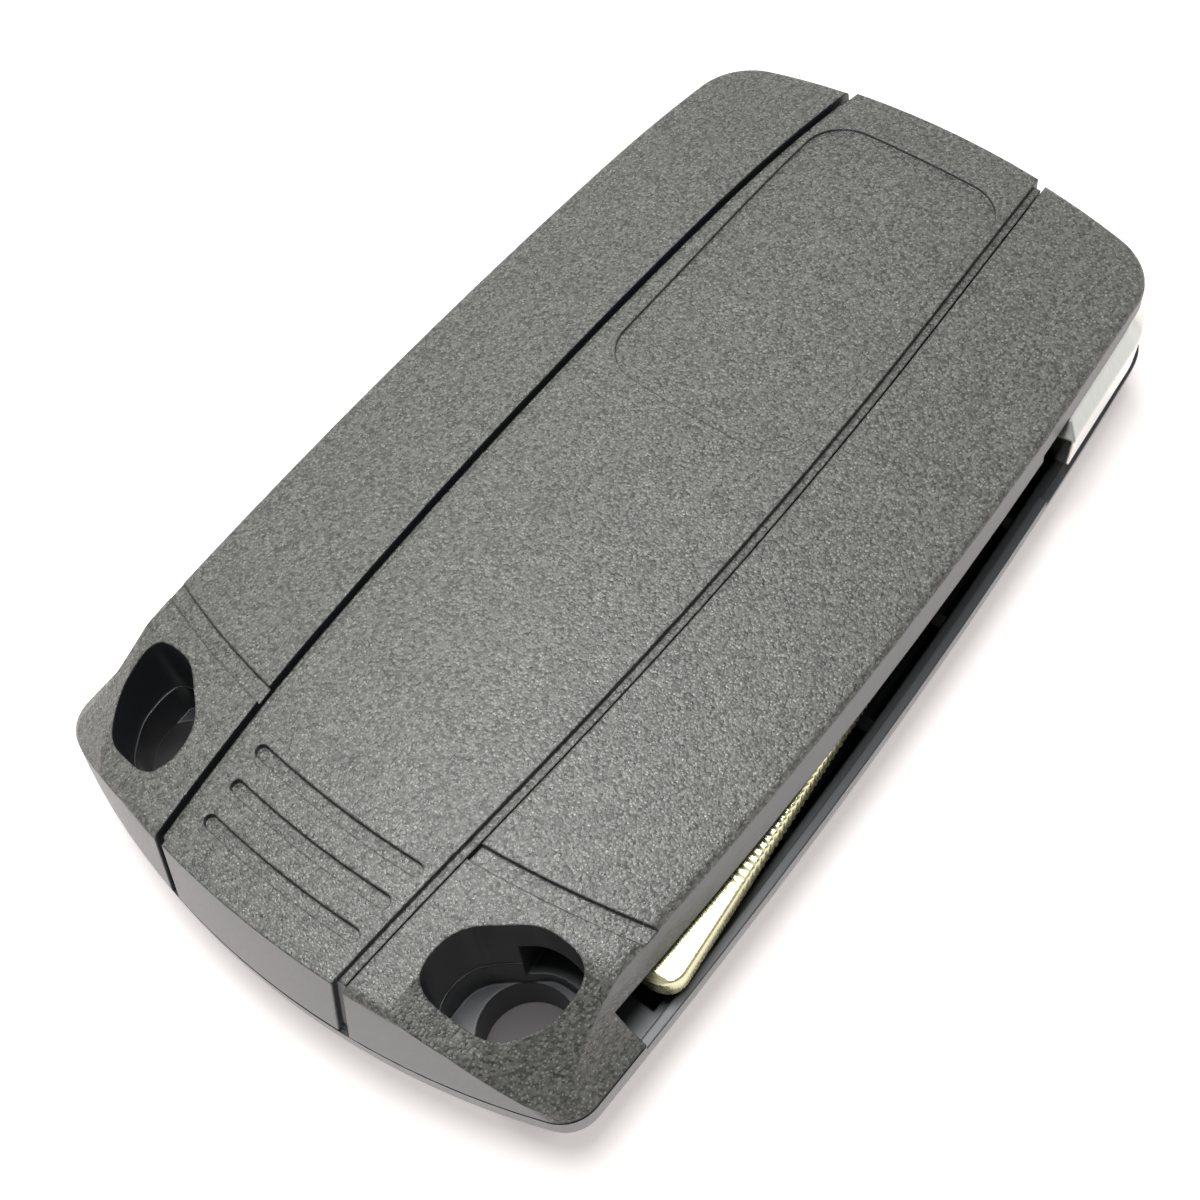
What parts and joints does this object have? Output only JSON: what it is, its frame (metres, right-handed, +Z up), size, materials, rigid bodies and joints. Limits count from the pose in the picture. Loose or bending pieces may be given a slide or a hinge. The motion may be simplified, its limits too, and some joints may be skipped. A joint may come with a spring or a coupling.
{
  "type": "flip key remote shell",
  "caption": "Empty remote case with a key blade that folds into its side, push buttons on the front, a lift-off battery cover on the back and a keyring hole at each corner of one end.",
  "frame": {"origin": "middle of the footprint, on the front face that the case lies on", "axes": "+Y along the case towards the blade's pivot, +X across towards the blade, +Z up out of the crowned back"},
  "size_m": [0.0414, 0.0734, 0.0144],
  "materials": {
    "case_plastic": "fine spark-eroded texture, matte",
    "chrome_plate": "bright plated",
    "blade_metal": "pale nickel over brass, milled edges",
    "steel": "plain zinc plated",
    "pad_rubber": "moulded silicone rubber",
    "button_rubber": "satin",
    "tray_plastic": "satin moulded"
  },
  "bodies": {
    "case": {"front_shell": "case_plastic", "back_shell": "case_plastic", "pivot_washer": "steel", "button_pad": "pad_rubber", "battery_tray": "tray_plastic", "case_screws": "steel"},
    "cover": {"battery_cover": "case_plastic"},
    "blade": {"flip_head": "chrome_plate", "key_blade": "blade_metal", "blade_pin": "steel", "flip_spring": "steel"},
    "lock": {"lock_button": "button_rubber"},
    "unlock": {"unlock_button": "button_rubber"},
    "trunk": {"trunk_button": "button_rubber"},
    "release": {"release_button": "chrome_plate"}
  },
  "joints": [
    {"name": "blade_flip", "type": "hinge", "parent": "case", "child": "blade", "pos_m": [0.0125, 0.0288, 0.0081], "axis": [0, 0, 1], "range_deg": [0, 175.8]},
    {"name": "cover_lift", "type": "slide", "parent": "case", "child": "cover", "axis": [0, 0, 1], "range_m": [0, 0.012]},
    {"name": "release_press", "type": "slide", "parent": "case", "child": "release", "axis": [0, 0, 1], "range_m": [0, 0.0018], "stiffness_N_per_m": 500, "deforming": ["flip_spring"]},
    {"name": "lock_press", "type": "slide", "parent": "case", "child": "lock", "axis": [0, 0, 1], "range_m": [0, 0.0005], "stiffness_N_per_m": 600},
    {"name": "unlock_press", "type": "slide", "parent": "case", "child": "unlock", "axis": [0, 0, 1], "range_m": [0, 0.0005], "stiffness_N_per_m": 600},
    {"name": "trunk_press", "type": "slide", "parent": "case", "child": "trunk", "axis": [0, 0, 1], "range_m": [0, 0.0005], "stiffness_N_per_m": 600}
  ]
}
